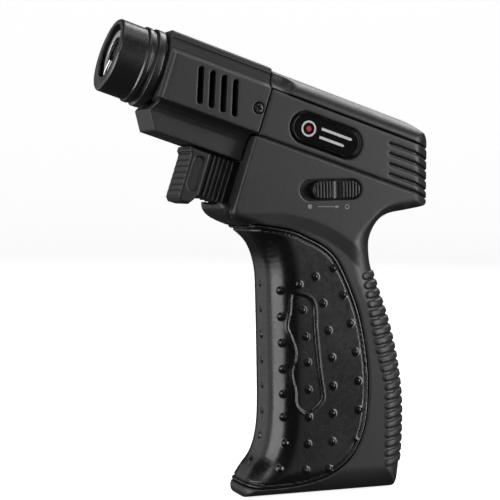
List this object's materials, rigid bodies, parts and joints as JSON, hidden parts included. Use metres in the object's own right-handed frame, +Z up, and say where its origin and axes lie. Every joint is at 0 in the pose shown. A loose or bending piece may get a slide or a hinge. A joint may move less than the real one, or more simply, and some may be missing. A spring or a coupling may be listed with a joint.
{
  "type": "butane torch",
  "caption": "Pistol-shaped piezo butane torch: tubular muzzle, vented nose, trigger, sliding lock, ribbed backstrap and dimpled tank grip standing on a flat base.",
  "frame": {"origin": "middle of the overall length and width, on the plane the base stands on", "axes": "+Z up, muzzle towards -X and pointing 17.4 degrees upwards, +Y away from the lock switch side"},
  "size_m": [0.1109, 0.0268, 0.1482],
  "materials": {
    "frame_plastic": "fine matte dark grey",
    "nose_plastic": "fine matte dark grey",
    "grip_plastic": "semi-gloss black",
    "guard_plastic": "satin black",
    "trigger_plastic": "satin black",
    "switch_plastic": "satin black",
    "badge_gloss": "high gloss black with printed emblem",
    "inner_plastic": "natural nylon",
    "steel": "bright steel",
    "dark_steel": "blackened steel",
    "brass": "turned brass",
    "ceramic": "white glazed ceramic",
    "rubber": "black rubber",
    "hose_clear": "milky flexible tube",
    "wire_red": "red silicone insulation"
  },
  "bodies": {
    "torch": {"frame_left_shell": "frame_plastic", "frame_right_shell": "frame_plastic", "frame_screw_1": "dark_steel", "frame_screw_2": "dark_steel", "frame_screw_3": "dark_steel", "frame_screw_4": "dark_steel", "top_rail_cover": "frame_plastic", "badge_left": "badge_gloss", "badge_right": "badge_gloss", "nose_housing": "nose_plastic", "nose_screw_left": "dark_steel", "nose_screw_right": "dark_steel", "muzzle_guard": "guard_plastic", "burner_tube": "steel", "flame_screen": "dark_steel", "burner_collar": "dark_steel", "air_baffle": "dark_steel", "mixing_tube": "brass", "jet_nozzle": "brass", "jet_washer": "rubber", "electrode_insulator": "ceramic", "spark_electrode": "steel", "ignition_wire": "wire_red", "piezo_igniter": "inner_plastic", "trigger_spring": "steel", "gas_valve_body": "brass", "lever_pin": "steel", "gas_hose": "hose_clear", "lock_detent_spring": "steel", "fuel_tank": "grip_plastic", "tank_cap": "brass", "riser_tube": "hose_clear", "refill_valve_body": "brass", "refill_oring": "rubber", "refill_spring": "steel", "adjuster_body": "brass"},
    "trigger_body": {"trigger": "trigger_plastic"},
    "plunger_body": {"piezo_plunger": "dark_steel"},
    "lever_body": {"valve_lever": "inner_plastic"},
    "stem_body": {"gas_valve_stem": "steel"},
    "lock_body": {"lock_slider": "switch_plastic"},
    "filler_body": {"refill_valve_stem": "steel"},
    "adjuster_body_turning": {"flame_adjuster": "dark_steel"}
  },
  "joints": [
    {"name": "trigger_slide", "type": "slide", "parent": "torch", "child": "trigger_body", "axis": [0.9542, 0, -0.299], "range_m": [0, 0.004], "stiffness_N_per_m": 1200, "springref_m": -0.003, "deforming": ["trigger_spring"]},
    {"name": "plunger_slide", "type": "slide", "parent": "torch", "child": "plunger_body", "axis": [0.9542, 0, -0.299], "range_m": [0, 0.0041]},
    {"name": "lever_pivot", "type": "hinge", "parent": "torch", "child": "lever_body", "pos_m": [0.00715, 0, 0.11412], "axis": [0, -1, 0], "range_deg": [0, 15.4]},
    {"name": "valve_stem_slide", "type": "slide", "parent": "torch", "child": "stem_body", "axis": [-0.9542, 0, 0.299], "range_m": [0, 0.00122]},
    {"name": "lock_slide", "type": "slide", "parent": "torch", "child": "lock_body", "axis": [-0.9996, 0, -0.03], "range_m": [0, 0.002]},
    {"name": "flame_adjuster_turn", "type": "hinge", "parent": "torch", "child": "adjuster_body_turning", "pos_m": [0.0215, 0, 0.002], "axis": [0, 0, 1], "range_deg": [0, 270]},
    {"name": "refill_stem_slide", "type": "slide", "parent": "torch", "child": "filler_body", "axis": [0, 0, 1], "range_m": [0, 0.0015], "stiffness_N_per_m": 600, "springref_m": -0.002, "deforming": ["refill_spring"]}
  ],
  "couplings": [
    {"joint": "plunger_slide", "follows": "trigger_slide", "ratio": 1},
    {"joint": "lever_pivot", "follows": "trigger_slide", "rad_per_m": 65.8},
    {"joint": "valve_stem_slide", "follows": "trigger_slide", "ratio": 0.296}
  ]
}
